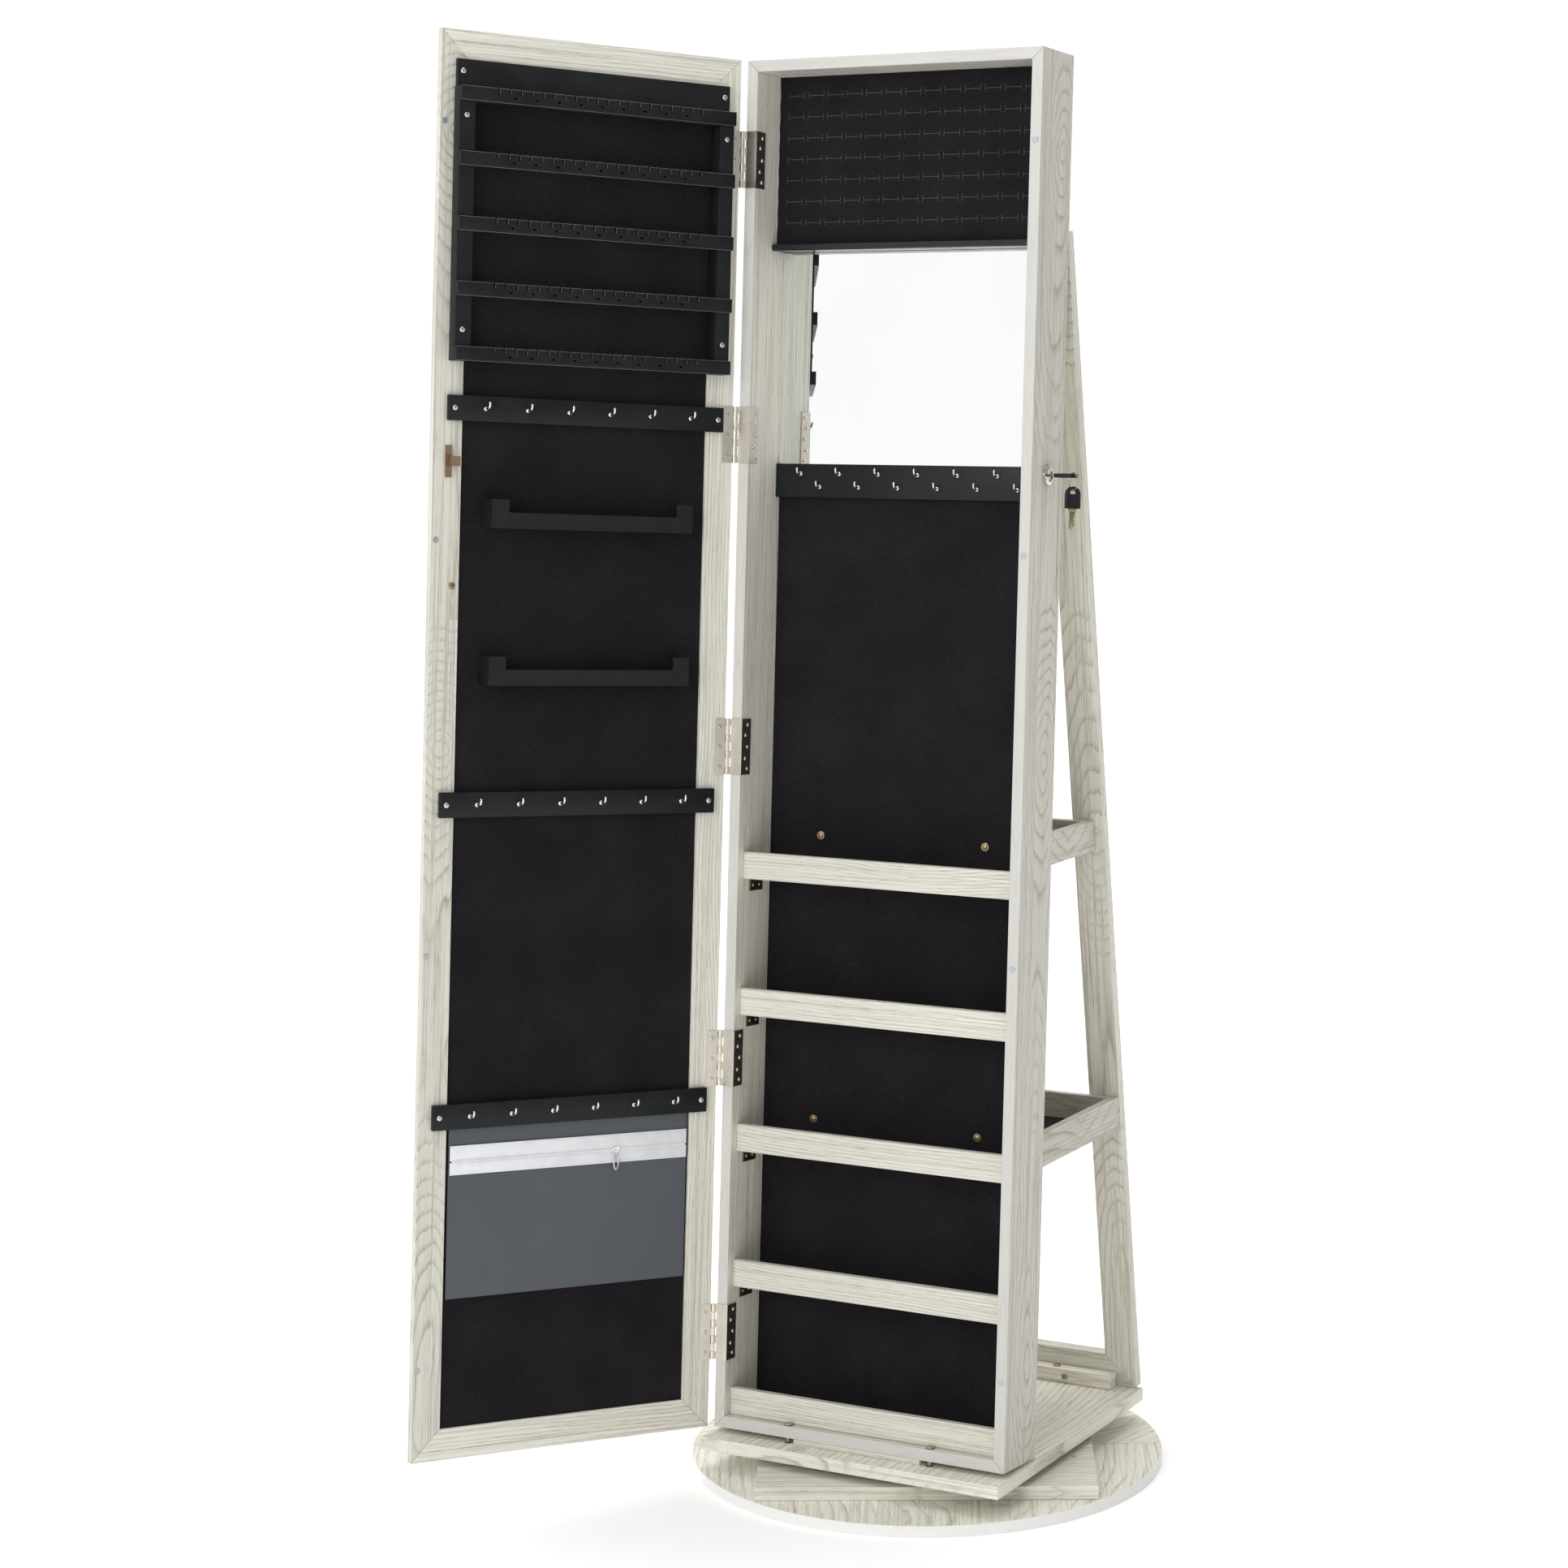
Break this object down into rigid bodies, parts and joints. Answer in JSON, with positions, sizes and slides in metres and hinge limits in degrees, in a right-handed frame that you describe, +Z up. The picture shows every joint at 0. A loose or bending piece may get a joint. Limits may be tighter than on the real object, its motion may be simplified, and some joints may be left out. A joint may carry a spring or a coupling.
{
  "type": "jewellery cabinet mirror",
  "caption": "Free-standing swivel jewellery cabinet with a full-length mirror door, turntable base, leaning rear frame and storage trays, in whitewashed wood grain.",
  "frame": {"origin": "centre of the base disc's flat underside, on the floor and on the swivel axis", "axes": "+Z up along the swivel axis; -Y is the way the cabinet faces at rest; +X to the right of someone facing its front"},
  "size_m": [0.6525, 0.7658, 1.6285],
  "materials": {
    "whitewashed_ash": "matt foil with a whitewashed ash grain",
    "black_velvet": "short black velvet",
    "black_plastic": "semi-gloss black",
    "mirror_glass": "silvered glass",
    "satin_nickel": "satin nickel plate",
    "chrome": "polished",
    "zinc_steel": "zinc plated",
    "brass": "bright",
    "bronze": "dark bronze plate",
    "pocket_film": "soft clear film over velvet"
  },
  "bodies": {
    "base": {"base_disc": "whitewashed_ash", "base_square_plate": "whitewashed_ash", "bearing_lower_ring": "zinc_steel"},
    "cabinet": {"bearing_upper_ring": "zinc_steel", "bottom_rail": "whitewashed_ash", "cabinet_back_lining": "black_velvet", "cabinet_back_panel": "whitewashed_ash", "cabinet_bolt_left": "brass", "cabinet_bolt_right": "brass", "cabinet_bottom": "whitewashed_ash", "cabinet_foot_wedge": "whitewashed_ash", "cabinet_hinge_leaf_1": "satin_nickel", "cabinet_hinge_leaf_2": "satin_nickel", "cabinet_hinge_leaf_3": "satin_nickel", "cabinet_hinge_leaf_4": "satin_nickel", "cabinet_hinge_leaf_5": "satin_nickel", "cabinet_left_side": "whitewashed_ash", "cabinet_right_side": "whitewashed_ash", "cabinet_top": "whitewashed_ash", "interior_mirror": "mirror_glass", "lock_cylinder": "chrome", "lower_rear_tray": "whitewashed_ash", "necklace_hook_board": "black_plastic", "rear_batten": "whitewashed_ash", "rear_frame_bottom_rail": "whitewashed_ash", "rear_frame_left_leg": "whitewashed_ash", "rear_frame_right_leg": "whitewashed_ash", "rear_frame_top_rail": "whitewashed_ash", "ring_pad": "black_velvet", "ring_pad_rail": "black_plastic", "shelf_a": "whitewashed_ash", "shelf_b": "whitewashed_ash", "shelf_c": "whitewashed_ash", "shelf_d": "whitewashed_ash", "swivel_plate": "whitewashed_ash", "upper_rear_tray": "whitewashed_ash"},
    "door": {"cosmetics_holder_1": "black_plastic", "cosmetics_holder_2": "black_plastic", "door_bottom_rail": "whitewashed_ash", "door_hinge_leaf_1": "satin_nickel", "door_hinge_leaf_2": "satin_nickel", "door_hinge_leaf_3": "satin_nickel", "door_hinge_leaf_4": "satin_nickel", "door_hinge_leaf_5": "satin_nickel", "door_hinge_stile": "whitewashed_ash", "door_lining": "black_velvet", "door_lock_stile": "whitewashed_ash", "door_mirror": "mirror_glass", "door_top_rail": "whitewashed_ash", "earring_rack": "black_plastic", "necklace_strip_1": "black_plastic", "necklace_strip_2": "black_plastic", "necklace_strip_3": "black_plastic", "strike_plate": "bronze", "zip_pocket": "pocket_film"},
    "zip": {"zip_slider": "satin_nickel"},
    "lock": {"lock_plug_and_cam": "satin_nickel", "lock_key": "black_plastic"},
    "ring": {"key_ring": "satin_nickel"},
    "spare": {"spare_key": "black_plastic"}
  },
  "joints": [
    {"name": "turntable", "type": "hinge", "parent": "base", "child": "cabinet", "pos_m": [0, 0, 0.0328], "axis": [0, 0, 1], "continuous": true},
    {"name": "door_hinge", "type": "hinge", "parent": "cabinet", "child": "door", "pos_m": [-0.1874, -0.17329, 0.0584], "axis": [0, 0.0767, 0.9971], "range_deg": [-50, 120]},
    {"name": "lock_turn", "type": "hinge", "parent": "cabinet", "child": "lock", "pos_m": [0.184, -0.04703, 1.1414], "axis": [1, 0, 0], "range_deg": [0, 90]},
    {"name": "ring_swing", "type": "hinge", "parent": "lock", "child": "ring", "pos_m": [0.21698, -0.05097, 1.14482], "axis": [0.8192, -0.5719, 0.044], "range_deg": [-12, 12]},
    {"name": "spare_key_swing", "type": "hinge", "parent": "ring", "child": "spare", "pos_m": [0.21698, -0.05244, 1.12567], "axis": [0.8192, -0.5719, 0.044], "range_deg": [-30, 30]},
    {"name": "zip_slide", "type": "slide", "parent": "door", "child": "zip", "axis": [-0.5, -0.8635, 0.0664], "range_m": [-0.086, 0.194]}
  ]
}
